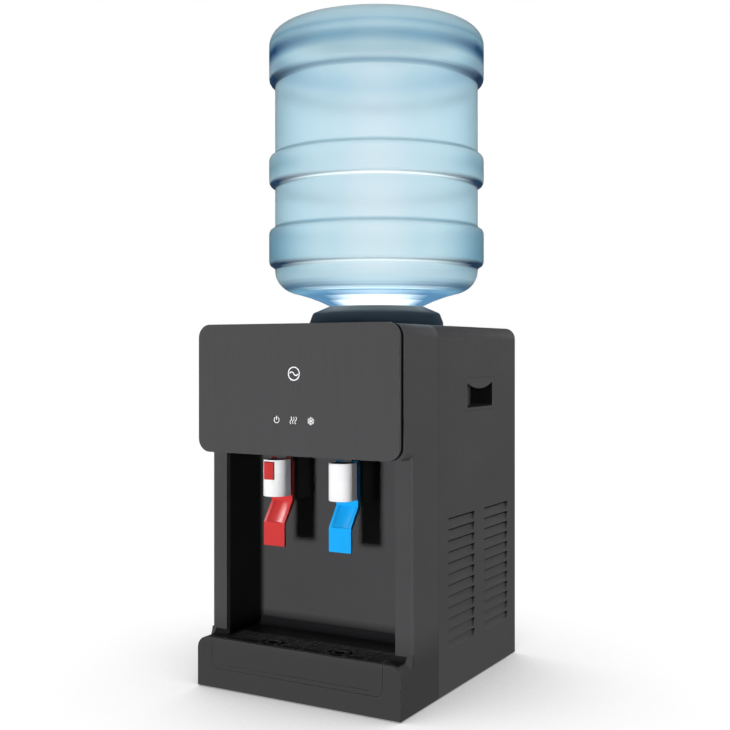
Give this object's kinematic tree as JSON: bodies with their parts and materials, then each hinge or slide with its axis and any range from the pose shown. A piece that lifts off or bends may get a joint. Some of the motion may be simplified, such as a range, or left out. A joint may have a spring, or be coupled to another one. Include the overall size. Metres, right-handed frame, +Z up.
{
  "type": "countertop water dispenser",
  "caption": "Countertop hot and cold water dispenser with an inverted bottle, push-lever taps in an alcove, a pull-out drip tray and louvered side panels.",
  "frame": {"origin": "on the worktop, under the middle of the overall bounding box", "axes": "+Z up, +X to the right of a person facing the taps, +Y towards the back"},
  "size_m": [0.2922, 0.3501, 0.86],
  "materials": {
    "zinc_sheet": "zinc plated",
    "rubber": "matt",
    "shell_plastic": "satin fine-grained",
    "black_plastic": "satin",
    "fascia_plastic": "satin gloss, brushed pattern",
    "white_lens": "satin",
    "circuit_board": "solder resist",
    "side_steel": "satin powder coat",
    "screw_steel": "plated",
    "collar_plastic": "gloss",
    "seat_plastic": "smooth",
    "silicone": "matt",
    "bottle_plastic": "clear blue polycarbonate",
    "cap_plastic": "satin",
    "tank_steel": "drawn stainless",
    "white_plastic": "satin",
    "foam": "beaded foam",
    "copper": "drawn tube",
    "mica_band": "dark band",
    "hose": "translucent silicone",
    "black_steel": "gloss black paint",
    "red_plastic": "satin",
    "green_plastic": "satin",
    "sleeve_silver": "satin bright",
    "blue_plastic": "satin"
  },
  "bodies": {
    "cabinet": {"base_pan": "zinc_sheet", "rubber_feet": "rubber", "front_frame": "shell_plastic", "alcove_liner": "shell_plastic", "tray_deck": "black_plastic", "front_panel": "fascia_plastic", "indicator_lenses": "white_lens", "indicator_board": "circuit_board", "left_side_panel": "side_steel", "right_side_panel": "side_steel", "left_hand_hold": "shell_plastic", "right_hand_hold": "shell_plastic", "top_cover": "shell_plastic", "rear_panel": "zinc_sheet", "case_screws": "screw_steel", "cold_tank": "tank_steel", "cold_tank_lid": "white_plastic", "tank_insulation": "foam", "tank_shelf": "zinc_sheet", "baffle_disc": "white_plastic", "evaporator_coil": "copper", "hot_tank": "tank_steel", "heater_band": "mica_band", "thermostat_discs": "black_plastic", "outlet_hoses": "hose", "hot_feed_hose": "hose", "drain_hose": "hose", "drain_outlet": "white_plastic", "compressor": "black_steel", "compressor_grommets": "rubber", "relay_box": "black_plastic", "filter_drier": "copper", "condenser_coil": "black_steel", "control_board": "circuit_board", "switch_bezel": "black_plastic", "cord_gland": "rubber", "hot_tap_body": "black_plastic", "hot_tap_sleeve": "sleeve_silver", "hot_stem_spring": "screw_steel", "cold_tap_body": "black_plastic", "cold_tap_sleeve": "sleeve_silver", "cold_stem_spring": "screw_steel", "lever_pins": "screw_steel"},
    "seat": {"bottle_collar": "collar_plastic", "seat_funnel": "seat_plastic", "feed_spike": "seat_plastic", "seat_gasket": "silicone"},
    "bottle": {"water_bottle": "bottle_plastic", "bottle_cap": "cap_plastic"},
    "tray": {"tray_front": "shell_plastic", "drip_tray": "black_plastic"},
    "grille": {"drip_grille": "black_plastic"},
    "hot_lever": {"hot_tap_lever": "red_plastic"},
    "cold_lever": {"cold_tap_lever": "blue_plastic"},
    "hot_stem": {"hot_valve_stem": "screw_steel"},
    "cold_stem": {"cold_valve_stem": "screw_steel"},
    "child_lock": {"child_lock_button": "red_plastic"},
    "hot_rocker": {"hot_switch": "red_plastic"},
    "cold_rocker": {"cold_switch": "green_plastic"},
    "drain_plug": {"drain_cap": "white_plastic"}
  },
  "joints": [
    {"name": "seat_lift", "type": "slide", "parent": "cabinet", "child": "seat", "axis": [0, 0, 1], "range_m": [0, 0.08]},
    {"name": "bottle_lift", "type": "slide", "parent": "seat", "child": "bottle", "axis": [0, 0, 1], "range_m": [0, 0.1]},
    {"name": "tray_pull", "type": "slide", "parent": "cabinet", "child": "tray", "axis": [0, -1, 0], "range_m": [0, 0.075]},
    {"name": "grille_lift", "type": "slide", "parent": "tray", "child": "grille", "axis": [0, 0, 1], "range_m": [0, 0.04]},
    {"name": "hot_lever_push", "type": "hinge", "parent": "cabinet", "child": "hot_lever", "pos_m": [-0.048, -0.1271, 0.288], "axis": [1, 0, 0], "range_deg": [0, 12], "stiffness_Nm_per_rad": 0.25, "springref_deg": -14.32},
    {"name": "cold_lever_push", "type": "hinge", "parent": "cabinet", "child": "cold_lever", "pos_m": [0.048, -0.1271, 0.288], "axis": [1, 0, 0], "range_deg": [0, 12], "stiffness_Nm_per_rad": 0.25, "springref_deg": -14.32},
    {"name": "hot_stem_drop", "type": "slide", "parent": "cabinet", "child": "hot_stem", "axis": [0, 0, -1], "range_m": [0, 0.0035], "deforming": ["hot_stem_spring"]},
    {"name": "cold_stem_drop", "type": "slide", "parent": "cabinet", "child": "cold_stem", "axis": [0, 0, -1], "range_m": [0, 0.0035], "deforming": ["cold_stem_spring"]},
    {"name": "child_lock_press", "type": "slide", "parent": "cabinet", "child": "child_lock", "axis": [0, 1, 0], "range_m": [0, 0.0018], "stiffness_N_per_m": 150, "springref_m": -0.001},
    {"name": "hot_switch_rock", "type": "hinge", "parent": "cabinet", "child": "hot_rocker", "pos_m": [0.104, 0.1409, 0.1455], "axis": [1, 0, 0], "range_deg": [-16, 0]},
    {"name": "cold_switch_rock", "type": "hinge", "parent": "cabinet", "child": "cold_rocker", "pos_m": [0.104, 0.1409, 0.1185], "axis": [1, 0, 0], "range_deg": [-16, 0]},
    {"name": "drain_cap_pull", "type": "slide", "parent": "cabinet", "child": "drain_plug", "axis": [0, 1, 0], "range_m": [0, 0.03]}
  ],
  "couplings": [
    {"joint": "hot_stem_drop", "follows": "hot_lever_push", "m_per_rad": 0.0157},
    {"joint": "cold_stem_drop", "follows": "cold_lever_push", "m_per_rad": 0.0157}
  ]
}
